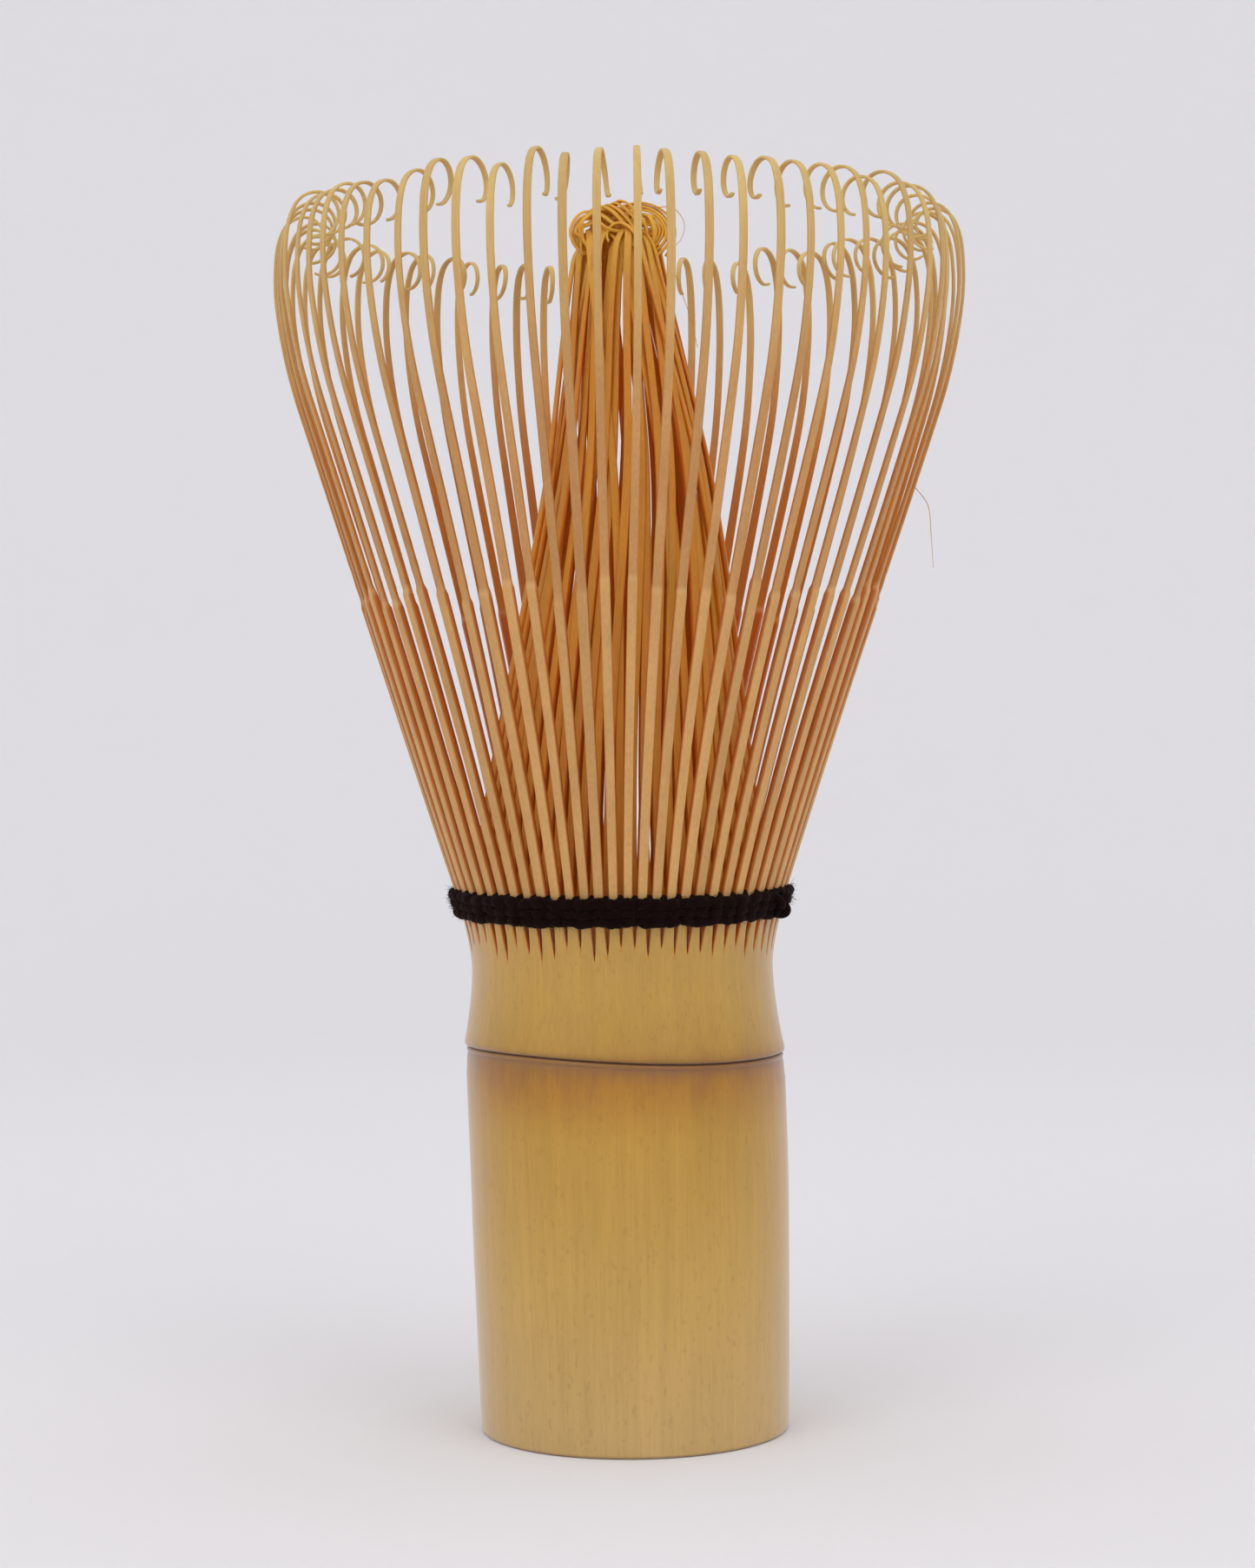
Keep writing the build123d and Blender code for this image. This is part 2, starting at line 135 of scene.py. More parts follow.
BUNDLE_SHIFT = 0.9          # how far the bundle leans to the right, half-way up
KNOT_Z = 107.5              # middle of the tangle that ties the bundle
FIBRE_R = 0.045

# ---- Thread ---------------------------------------------------------------------------------------
COURSES = 3
COURSE_PITCH = 0.78
COURSE_R = 0.48
COURSE_OUT = 0.28           # middle of a course outside the stubs' faces
LACE_R = 0.36
LACE_RISE = 1.02            # how far a turn of the lacing reaches above and below its middle
FUZZ_HAIRS = 3600
FUZZ_R = 0.018
KNOT_STRAND_R = 0.36
KNOT_LOOP = 0.62
KNOT_DEPTH = 0.42

# ---- Studio: paper in millimetres, lamps and camera in metres ---------------------------------------
PAPER_FLAT, PAPER_BEND, PAPER_WALL = 420, 520, 700
WORLD_STRENGTH = 0.32
LAMP_AIM = Vector((0, 0, 0.06))
# name, place, size and watts
LAMPS = (
    ("soft_top", (0.0, -0.1, 1.10), (1.4, 1.4), 5.5),
    ("soft_left", (-0.55, -0.75, 0.45), (0.6, 0.8), 2.6),
    ("soft_right", (0.55, -0.75, 0.45), (0.6, 0.8), 2.2),
)
CAMERA_PLACE = (0.0002, -0.279, 0.0593)
CAMERA_LENS = 71.1
CAMERA_DOWN = math.radians(0.29)
CAMERA_ROLL = math.radians(0.65)


def uneven(number, trait):
    """A repeatable value from -1 to 1 for a tine and a trait."""
    value = math.sin(number * 12.9898 + trait * 78.233) * 43758.5453
    return 2 * (value - math.floor(value)) - 1


def smooth(value, low, high):
    """0 below low, 1 above high, and a smooth step between."""
    share = min(1.0, max(0.0, (value - low) / (high - low)))
    return share * share * (3 - 2 * share)


def random_vector(rng):
    """A vector with each of its three parts from -1 to 1."""
    return Vector((rng.uniform(-1, 1), rng.uniform(-1, 1), rng.uniform(-1, 1)))


def polar(radius, angle, height):
    return Vector((radius * math.cos(angle), radius * math.sin(angle), height))


def tine_angle(number):
    return PITCH * (number - (TINES_PER_SPLIT - 1) / 2)


def slit_angle(number):
    return tine_angle(number) + PITCH / 2


def flare_radius(height):
    """Outer face of the culm's wall from the waist up to the hinge line."""
    share = max(0.0, (height - WAIST_Z) / (HINGE_Z - WAIST_Z))
    return WAIST_R + (FLARE_R - WAIST_R) * share**1.5


def culm_bend(height):
    """How far the grown culm wanders towards +X at a height: a soft curve, at most half a millimetre."""
    return 0.25 * (1 - smooth(height, 0, 30)) - 0.5 * smooth(height, 20, 44) + 0.4 * smooth(height, 50, 95)


def grown(place):
    """Moves a point of the regular whisk to where the hand-split one has it: the culm wanders a
    little, and the tines stand closer together at the front and the back than at the sides."""
    angle = math.atan2(place.y, place.x)
    radius = math.hypot(place.x, place.y)
    crowding = 0.07 * smooth(place.z, 30, 44) * (1 - smooth(place.z, 50, 96))
    angle += crowding * math.sin(2 * angle)
    return Vector((radius * math.cos(angle) + culm_bend(place.z), radius * math.sin(angle), place.z))


def node_tilt(angle):
    """Rise of the growth node's crease round the culm, which is not quite level."""
    return -0.47 * math.cos(angle) + 0.09 * math.sin(2 * angle + 0.5) + 0.06 * math.sin(3 * angle + 2)


# ---- Meshes -------------------------------------------------------------------------------------
def add_object(name, data):
    obj = bpy.data.objects.new(name, data)
    bpy.context.scene.collection.objects.link(obj)
    return obj


class Shape:
    """Collects points, faces and point attributes, and becomes one mesh object."""

    def __init__(self, *attributes):
        self.points = []
        self.faces = []
        self.values = {name: [] for name in attributes}

    def point(self, place, **values):
        self.points.append(place)
        for name, column in self.values.items():
            column.append(values.get(name, 0.0))
        return len(self.points) - 1

    def bridge(self, ring_a, ring_b, closed=True):
        count = len(ring_a)
        for i in range(count if closed else count - 1):
            j = (i + 1) % count
            self.faces.append((ring_a[i], ring_a[j], ring_b[j], ring_b[i]))

    def skin(self, rings, closed=True, flip=False):
        """Faces from each ring to the next."""
        for ring_a, ring_b in zip(rings, rings[1:]):
            if flip:
                self.bridge(ring_b, ring_a, closed)
            else:
                self.bridge(ring_a, ring_b, closed)

    def cap(self, ring, flip=False):
        self.faces.append(tuple(reversed(ring)) if flip else tuple(ring))

    def make_object(self, name, material, weld=None, bent=True):
        mesh = bpy.data.meshes.new(name)
        places = [grown(p) for p in self.points] if bent else self.points
        mesh.from_pydata([p * MM for p in places], [], self.faces)
        for key, column in self.values.items():
            layer = mesh.attributes.new(key, "FLOAT", "POINT")
            layer.data.foreach_set("value", column)
        mesh.materials.append(material)
        mesh.shade_smooth()
        obj = add_object(name, mesh)
        if weld:
            work = bmesh.new()
            work.from_mesh(mesh)
            bmesh.ops.remove_doubles(work, verts=work.verts, dist=weld * MM)
            bmesh.ops.recalc_face_normals(work, faces=work.faces)
            work.to_mesh(mesh)
            work.free()
        return obj


# ---- Materials ----------------------------------------------------------------------------------
class Nodes:
    """Builds one node material around its Principled shader."""

    def __init__(self, name):
        self.material = bpy.data.materials.new(name)
        self.material.use_nodes = True
        self.tree = self.material.node_tree
        self.shader = self.tree.nodes["Principled BSDF"]
        self.place = self.add("ShaderNodeTexCoord").outputs["Object"]

    def add(self, kind, **settings):
        node = self.tree.nodes.new(kind)
        for key, value in settings.items():
            setattr(node, key, value)
        return node

    def link(self, source, target):
        self.tree.links.new(source, target)

    def attribute(self, name):
        return self.add("ShaderNodeAttribute", attribute_name=name).outputs["Fac"]

    def scaled(self, x, y, z):
        node = self.add("ShaderNodeMapping")
        node.inputs["Scale"].default_value = (x, y, z)
        self.link(self.place, node.inputs["Vector"])
        return node.outputs["Vector"]

    def noise(self, vector, scale, detail=2.0, roughness=0.5):
        node = self.add("ShaderNodeTexNoise")
        node.inputs["Scale"].default_value = scale
        node.inputs["Detail"].default_value = detail
        node.inputs["Roughness"].default_value = roughness
        self.link(vector, node.inputs["Vector"])
        return node.outputs["Fac"]

    def ramp(self, source, *stops):
        """stops are (position, value or colour)."""
        node = self.add("ShaderNodeValToRGB")
        elements = node.color_ramp.elements
        while len(elements) < len(stops):
            elements.new(0.5)
        for element, (position, colour) in zip(elements, stops):
            element.position = position
            element.color = (*colour, 1) if isinstance(colour, tuple) else (colour,) * 3 + (1,)
        self.link(source, node.inputs["Fac"])
        return node.outputs["Color"]

    def feed(self, socket, value):
        """Sets a socket to a number or a colour, or links an output to it."""
        if isinstance(value, (int, float)):
            socket.default_value = value
        elif isinstance(value, tuple):
            socket.default_value = (*value, 1)
        else:
            self.link(value, socket)

    def mix(self, factor, a, b, blend="MIX"):
        node = self.add("ShaderNodeMix", data_type="RGBA", blend_type=blend)
        for index, value in ((0, factor), (6, a), (7, b)):
            self.feed(node.inputs[index], value)
        return node.outputs[2]

    def shade(self, tone, amount, source, *stops):
        """The tone multiplied, by an amount from 0 to 1, with a ramp of the source."""
        return self.mix(amount, tone, self.ramp(source, *stops), "MULTIPLY")

    def maths(self, operation, a, b):
        node = self.add("ShaderNodeMath", operation=operation)
        self.feed(node.inputs[0], a)
        self.feed(node.inputs[1], b)
        return node.outputs[0]

    def height(self, low, high):
        """0 at the low height and 1 at the high one, both in millimetres."""
        split = self.add("ShaderNodeSeparateXYZ")
        self.link(self.place, split.inputs[0])
        node = self.add("ShaderNodeMapRange")
        node.inputs["From Min"].default_value = low * MM
        node.inputs["From Max"].default_value = high * MM
        self.link(split.outputs["Z"], node.inputs["Value"])
        return node.outputs[0]

    def bump(self, height, distance, strength=1.0):
        node = self.add("ShaderNodeBump")
        node.inputs["Distance"].default_value = distance * MM
        node.inputs["Strength"].default_value = strength
        self.link(height, node.inputs["Height"])
        return node.outputs["Normal"]

    def finish(self, colour, roughness=0.5, normal=None, **sockets):
        self.link(colour, self.shader.inputs["Base Color"])
        self.feed(self.shader.inputs["Roughness"], roughness)
        if normal is not None:
            self.link(normal, self.shader.inputs["Normal"])
        for key, value in sockets.items():
            self.shader.inputs[key.replace("_", " ")].default_value = value
        return self.material


def rgb(red, green, blue):
    """A display colour, 0 to 255, as the linear colour that a shader takes."""
    def linear(value):
        value /= 255
        return value / 12.92 if value <= 0.04045 else ((value + 0.055) / 1.055) ** 2.4
    return (linear(red), linear(green), linear(blue))


def culm_material():
    """Bamboo skin: ochre with fine fibres, warmer under the node, cut wood where `cut` is set."""
    m = Nodes("culm_bamboo")
    fibre = m.noise(m.scaled(1, 1, 0.02), 5200, 3.0, 0.6)
    streak = m.noise(m.scaled(1, 1, 0.035), 900, 3.0, 0.6)
    cloud = m.noise(m.scaled(1, 1, 0.45), 130, 2.0, 0.5)
    freckle = m.noise(m.scaled(1, 1, 0.4), 2600, 2.0, 0.6)
    along = m.ramp(
        m.height(0, HINGE_Z),
        (0.0, rgb(203, 168, 106)),
        (0.30, rgb(200, 160, 78)),
        (0.56, rgb(192, 146, 50)),
        (0.65, rgb(178, 123, 16)),
        (0.686, rgb(162, 110, 20)),
        (0.72, rgb(184, 140, 50)),
        (0.80, rgb(193, 150, 62)),
        (1.0, rgb(200, 156, 74)),
    )
    tone = m.shade(along, 0.5, cloud, (0.3, (0.86, 0.86, 0.78)), (0.7, (1.04, 1.03, 1.0)))
    tone = m.shade(tone, 0.4, streak, (0.35, (0.88, 0.87, 0.80)), (0.65, (1.06, 1.05, 1.04)))
    tone = m.shade(tone, 0.5, fibre, (0.35, (0.90, 0.88, 0.82)), (0.6, (1.05, 1.04, 1.03)))
    tone = m.shade(tone, 0.35, freckle, (0.30, (0.72, 0.64, 0.52)), (0.42, (1.0, 1.0, 1.0)))
    stain = m.noise(m.scaled(1, 1, 0.3), 700, 3.0, 0.6)
    under = m.ramp(m.height(0, HINGE_Z), (0.60, 0.0), (0.68, 0.75), (0.70, 0.35), (0.74, 0.0))
    stained = m.maths("MULTIPLY", under, m.ramp(stain, (0.42, 0.0), (0.66, 1.0)))
    tone = m.mix(stained, tone, rgb(148, 92, 28))
    # darker at the node's crease and under the neck's lip: partly the node line's own tint, partly painted
    # shade
    tone = m.mix(m.attribute("crease"), tone, rgb(118, 76, 54))
    wood = m.mix(streak, rgb(220, 118, 16), rgb(184, 84, 6))
    tone = m.mix(m.attribute("cut"), tone, wood)
    relief = m.maths("ADD", m.maths("MULTIPLY", fibre, 0.6), m.maths("MULTIPLY", streak, 0.8))
    rough = m.ramp(cloud, (0.3, 0.36), (0.7, 0.46))
    return m.finish(
        tone, rough, m.bump(relief, 0.035, 0.6),
        Specular_IOR_Level=0.3, Coat_Weight=0.6, Coat_Roughness=0.3,
        Sheen_Weight=0.42, Sheen_Roughness=0.35,
    )


def endgrain_material():
    """The sawn foot and the rough inner wall of the culm."""
    m = Nodes("culm_cut")
    cells = m.add("ShaderNodeTexVoronoi")
    cells.inputs["Scale"].default_value = 2100
    m.link(m.scaled(1, 1, 0.02), cells.inputs["Vector"])
    cloud = m.noise(m.scaled(1, 1, 0.2), 300, 3.0)
    tone = m.mix(cloud, rgb(214, 184, 128), rgb(188, 150, 92))
    tone = m.mix(m.ramp(cells.outputs["Distance"], (0.12, 1.0), (0.26, 0.0)), tone, rgb(122, 78, 40))
    return m.finish(tone, 0.62, m.bump(cells.outputs["Distance"], 0.05, 0.6))


def septum_material():
    """The papery skin of the diaphragm inside the culm."""
    m = Nodes("septum_skin")
    cloud = m.noise(m.scaled(1, 1, 1), 420, 4.0, 0.6)
    wrinkle = m.noise(m.scaled(1, 1, 1), 1500, 3.0, 0.6)
    tone = m.mix(cloud, rgb(222, 200, 152), rgb(184, 148, 96))
    return m.finish(tone, 0.7, m.bump(wrinkle, 0.08, 0.5))


def tine_material(name, face_low, face_high, side_low, side_high, tip, glow):
    """Split bamboo: a bark face, darker cut sides, and pale thin tips. A faint glow stands for the
    light that thin bamboo passes on into the gaps of the bundle."""
    m = Nodes(name)
    fibre = m.noise(m.scaled(1, 1, 0.03), 6500, 2.0, 0.6)
    cloud = m.noise(m.scaled(1, 1, 0.25), 420, 2.0, 0.5)
    shaved = m.attribute("shaved")
    face = m.mix(shaved, face_low, face_high)
    side = m.mix(shaved, side_low, side_high)
    tone = m.mix(m.attribute("side"), face, side)
    tone = m.mix(m.attribute("tip"), tone, tip)
    tone = m.shade(tone, 0.7, m.attribute("tone"), (0.0, (0.84, 0.80, 0.76)), (1.0, (1.08, 1.06, 1.02)))
    tone = m.shade(tone, 0.6, cloud, (0.3, (0.84, 0.79, 0.72)), (0.7, (1.05, 1.04, 1.02)))
    tone = m.shade(tone, 0.55, fibre, (0.3, (0.84, 0.80, 0.74)), (0.7, (1.05, 1.05, 1.04)))
    # a pale line just above the shaving step: painted highlight where its ledge catches the light
    tone = m.mix(m.attribute("step_highlight"), tone, rgb(226, 186, 128))
    return m.finish(
        tone, m.ramp(cloud, (0.3, 0.42), (0.7, 0.58)), m.bump(fibre, 0.02, 0.6),
        Specular_IOR_Level=0.3,
        Subsurface_Weight=0.3, Subsurface_Radius=(1.2 * MM, 0.5 * MM, 0.15 * MM), Subsurface_Scale=1.0,
        Emission_Color=(0.55, 0.16, 0.008, 1), Emission_Strength=glow,
    )


def thread_material(name, dark, light):
    """Black-brown cotton: matt, with a soft fibre sheen."""
    m = Nodes(name)
    twist = m.noise(m.scaled(1, 1, 1), 2600, 4.0, 0.7)
    cloud = m.noise(m.scaled(1, 1, 1), 500, 2.0)
    tone = m.mix(twist, dark, light)
    tone = m.mix(m.ramp(cloud, (0.4, 0.0), (0.7, 0.5)), tone, rgb(20, 8, 6))
    return m.finish(
        tone, 0.92, m.bump(twist, 0.12, 0.8),
        Specular_IOR_Level=0.08, Sheen_Weight=0.06, Sheen_Roughness=0.5, Sheen_Tint=(0.6, 0.42, 0.36, 1),
    )


def paper_material():
    """The seamless pale sweep that the whisk stands on."""
    m = Nodes("studio_paper")
    cloud = m.noise(m.scaled(1, 1, 1), 6, 1.0)
    tone = m.mix(cloud, rgb(238, 237, 240), rgb(240, 239, 241))
    return m.finish(tone, 0.95, Specular_IOR_Level=0.1)


CULM = culm_material()
CULM_CUT = endgrain_material()
SEPTUM = septum_material()
OUTER_BAMBOO = tine_material(
    "outer_tine_bamboo", face_low=rgb(210, 168, 108), face_high=rgb(198, 154, 98),
    side_low=rgb(190, 95, 9), side_high=rgb(186, 112, 22), tip=rgb(212, 188, 124), glow=0.03,
)
INNER_BAMBOO = tine_material(
    "inner_tine_bamboo", face_low=rgb(212, 144, 48), face_high=rgb(210, 144, 44),
    side_low=rgb(204, 98, 4), side_high=rgb(204, 106, 5), tip=rgb(222, 170, 66), glow=0.06,
)
COTTON = thread_material("cotton_thread", rgb(6, 0, 0), rgb(26, 9, 6))
# the loose fibres are a lighter brown than the thread: painted glints of light on the fuzz
FUZZ_GLINT = thread_material("cotton_fuzz_glint", rgb(30, 16, 12), rgb(64, 44, 36))


# ---- Strips of bamboo -----------------------------------------------------------------------------
class Walker:
    """Walks a strip's centre line: `ahead` along it, `face` out of its bark face, `side` across."""

    def __init__(self, place, ahead, face):
        self.place = place.copy()
        self.ahead = ahead.normalized()
        self.face = (face - self.ahead * face.dot(self.ahead)).normalized()
        self.length = 0.0
        self.stations = [self.station()]

    def station(self):
        return (self.place.copy(), self.ahead.copy(), self.face.copy(), self.length)

    def go(self, length, radius=None, twist=0.0, steps=None, sway=0.0):
        """Straight, or an arc towards the back of the face. twist turns about the line and sway turns
        the line sideways, both in degrees over the whole run."""
        steps = steps or max(1, round(length / 0.45))
        part = length / steps
        for _ in range(steps):
            side = self.ahead.cross(self.face)
            bend = 0.0 if radius is None else part / radius
            turn = Matrix.Rotation(-bend, 3, side) @ Matrix.Rotation(math.radians(sway) / steps, 3, self.face)
            middle = Matrix.Rotation(-bend / 2, 3, side)
            self.place += (middle @ self.ahead) * part
            self.ahead = (turn @ self.ahead).normalized()
            self.face = Matrix.Rotation(math.radians(twist) / steps, 3, self.ahead) @ (turn @ self.face)
            self.face = (self.face - self.ahead * self.face.dot(self.ahead)).normalized()
            self.length += part
            self.stations.append(self.station())


# what the tine materials read at each point: cut side, above the shaving step, thin tip, the tine's
# own tone, and a pale line just above the step, a painted highlight of its ledge
TINE_FACTS = ("side", "shaved", "tip", "tone", "step_highlight")

# the section's corners: across in half widths, out in half thicknesses, the way the bevel moves it
# across and out, and whether it is on a cut side (1) or on the bark face (0)
SECTION = (
    (-1, 1, 0, -1, 0.55), (-1, 1, 1, 0, 0.0), (-0.35, 1, 0, 0, 0.0), (0.35, 1, 0, 0, 0.0),
    (1, 1, -1, 0, 0.0), (1, 1, 0, -1, 0.55), (1, -1, 0, 1, 1.0), (1, -1, -1, 0, 1.0),
    (-1, -1, 1, 0, 1.0), (-1, -1, 0, 1, 1.0),
)


def sweep_strip(shape, stations, width, thickness, values):
    """Adds a closed strip. width, thickness and values are functions of a station."""
    rings = []
    for station in stations:
        place, ahead, face, _ = station
        side = ahead.cross(face)
        half_w = width(station) / 2
        half_t = thickness(station) / 2
        bevel = min(STRIP_BEVEL, half_w * 0.3, half_t * 0.5)
        crown = STRIP_CROWN * half_w
        facts = values(station)
        ring = []
        for across, out, bevel_across, bevel_out, cut in SECTION:
            offset_side = across * half_w + bevel_across * bevel
            offset_face = out * half_t + bevel_out * bevel
            if abs(across) < 0.5:
                offset_face += crown
            ring.append(shape.point(place + side * offset_side + face * offset_face, side=cut, **facts))
        rings.append(ring)
    shape.skin(rings, flip=True)
    shape.cap(rings[0])
    shape.cap(rings[-1], flip=True)


def to_whisk(angle):
    """From a tine's own frame, with X outwards, to its place on the whisk."""
    return Matrix.Rotation(angle, 3, "Z")


def outer_walk(number):
    """Centre line of one outer tine, from inside the lacing to the curled tip."""
    rng = random.Random(SEED * 1000 + number)
    near = 0.2
    slope = (flare_radius(OUTER_START_Z + near) - flare_radius(OUTER_START_Z - near)) / (2 * near)
    ahead = Vector((slope, 0, 1)).normalized()
    face = Vector((1, 0, -slope)).normalized()
    start = Vector((flare_radius(OUTER_START_Z), 0, OUTER_START_Z))
    walker = Walker(start - face * SHAFT_T / 2, ahead, face)
    # up to the hinge line the strip still turns outwards, to the full lean
    bend = LEAN - math.atan(slope)
    first = (HINGE_Z - OUTER_START_Z) / math.cos(LEAN)
    walker.go(first, radius=-first / bend, steps=5)
    lean_aside = 0.35 * uneven(number, 4)
    bow = rng.uniform(-0.8, 0.8)
    reach = OUTER_REACH + rng.uniform(-0.4, 0.4)
    low_run = reach * OUTER_FIRST
    face_bow = math.radians(rng.uniform(-0.6, 0.6))
    walker.go(low_run, radius=low_run / face_bow, sway=lean_aside + bow, steps=52)
    walker.go(reach * (1 - OUTER_FIRST), sway=-bow, steps=40)
    scale = 1 + 0.10 * uneven(number, 2)
    twist = rng.uniform(-4, 4)
    for radius, degrees, steps, share in OUTER_BEND_ARCS:
        walker.go(radius * math.radians(degrees), radius=radius, steps=steps, twist=twist * share)
    for radius, degrees, steps, share in OUTER_CURL_ARCS:
        curl = radius * scale
        walker.go(curl * math.radians(degrees), radius=curl, steps=steps, twist=twist * share)
    tip = OUTER_TIP_R * scale * rng.uniform(0.88, 1.12)
    turn = OUTER_TIP_TURN * (1 + 0.2 * uneven(number, 3)) + rng.uniform(-5, 34)
    walker.go(tip * math.radians(turn), radius=tip, steps=16, twist=twist * 2 + rng.uniform(-16, 16))
    return walker.stations


def outer_tine(shape, number):
    stations = outer_walk(number)
    rng = random.Random(SEED * 2000 + number)
    angle = tine_angle(number)
    turn = to_whisk(angle)
    step = STEP_Z + STEP_SPREAD * uneven(number, 1)
    total = stations[-1][3]
    tone = rng.random()
    width_scale = 1 + 0.08 * uneven(number, 6)
    ladder = rng.random() < 0.4
    rungs = rng.uniform(2.0, 5.0)

    def height_of(station):
        # the curl comes down again, and counts as high above the shaving step all the same
        return station[0].z if station[3] < total * 0.75 else ABOVE_ALL

    def width(station):
        z = height_of(station)
        blade = BLADE_W - BLADE_TAPER * smooth(station[3], 30, total - 18)
        blade -= TIP_TAPER * smooth(station[3], total - 11, total)
        low = SHAFT_W + SHAFT_W_SPREAD * smooth(z, THREAD_Z, THREAD_Z + 6)
        return width_scale * (low + (blade - low) * smooth(z, step, step + 0.35))

    def thickness(station):
        z = height_of(station)
        share = smooth(station[3], 40, total)
        blade = BLADE_T - BLADE_T_LOSS * share
        value = SHAFT_T + (blade - SHAFT_T) * smooth(z, step, step + 0.3)
        if ladder and step < z < step + rungs:
            value += RUNG_HEIGHT * math.sin(z * 2 * math.pi / RUNG_PITCH)
        return value

    def values(station):
        z = height_of(station)
        return {
            "shaved": smooth(z, step - 0.1, step + 0.4),
            "tip": smooth(station[3], total - 34, total - 4),
            "tone": tone,
            # painted highlight along the step's ledge
            "step_highlight": 0.4 * smooth(z, step, step + 0.1) * (1 - smooth(z, step + 0.2, step + 0.4)),
        }

    moved = [(turn @ p, turn @ a, turn @ f, length) for p, a, f, length in stations]
    sweep_strip(shape, moved, width, thickness, values)


def make_outer_tines():
    """One object to a split, with its four tines, which start under the hinge line."""
    for split in range(SPLITS):
        shape = Shape(*TINE_FACTS)
        for number in range(split * TINES_PER_SPLIT, (split + 1) * TINES_PER_SPLIT):
            outer_tine(shape, number)
        obj = shape.make_object(f"outer_tines_{split + 1:02d}", OUTER_BAMBOO)
        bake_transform(obj)
        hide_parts(f"outer_split_{split + 1:02d}")


def inner_walk(number):
    """Centre line of one inner tine, from the ledge past the lacing into the gathered knot."""
    rng = random.Random(SEED * 3000 + number)
    layer = number % TINES_PER_SPLIT
    ahead = Vector((math.sin(INNER_LEAN), 0, math.cos(INNER_LEAN)))
    face = Vector((math.cos(INNER_LEAN), 0, -math.sin(INNER_LEAN)))
    walker = Walker(INNER_FOOT, ahead, face)
    walker.go(INNER_FOOT_RUN, steps=4)
    top_r = INNER_TOP_R - INNER_LAYER * layer + rng.uniform(-0.2, 0.2)
    top_z = INNER_TOP_Z + rng.uniform(-0.6, 0.5)
    inward = math.atan2(walker.place.x - top_r, top_z - walker.place.z) + math.radians(0.8)
    walker.go(INNER_BEND_R * (INNER_LEAN + inward - INNER_BELLY), radius=INNER_BEND_R, steps=8)
    run = (top_z - walker.place.z) / math.cos(inward)
    drift = rng.uniform(-3.2, 3.2)
    bow = rng.uniform(-1.4, 1.4)
    arc = run / (2 * INNER_BELLY)
    walker.go(run * 0.5, radius=arc, sway=drift + bow, steps=18, twist=rng.uniform(-10, 10))
    walker.go(run * 0.5, radius=arc, sway=-bow, steps=18, twist=rng.uniform(-14, 14))
    walker.go(3.2 * math.radians(50), radius=3.2, steps=6)
    first = rng.uniform(0.9, 1.4)
    walker.go(first * math.radians(rng.uniform(110, 160)), radius=first, steps=14, sway=rng.uniform(-70, 70))
    return walker.stations


def inner_tine(shape, number):
    rng = random.Random(SEED * 4000 + number)
    stations = inner_walk(number)
    total = stations[-1][3]
    turn = to_whisk(tine_angle(number) + PITCH / 2)
    tone = rng.random()

    def width(station):
        share = station[3] / total
        shaved = 0.22 * smooth(share, 0.06, 0.14) + 0.18 * smooth(share, 0.4, 0.9)
        return INNER_W - shaved - 0.2 * smooth(share, 0.94, 1)

    def thickness(station):
        share = station[3] / total
        return INNER_SHAFT_T - INNER_BLADE_T_LOSS * smooth(share, 0.3, 0.9)

    def values(station):
        length = station[3]
        return {"shaved": smooth(length, 26, 30), "tip": smooth(length, total - 12, total - 4), "tone": tone}

    moved = []
    for place, ahead, face, length in stations:
        back_again = 1 - 0.95 * smooth(place.z, 84, 106)
        shift = Vector((BUNDLE_SHIFT * smooth(place.z, THREAD_Z + 4, 86) * back_again, 0, 0))
        moved.append((turn @ place + shift, turn @ ahead, turn @ face, length))
    sweep_strip(shape, moved, width, thickness, values)


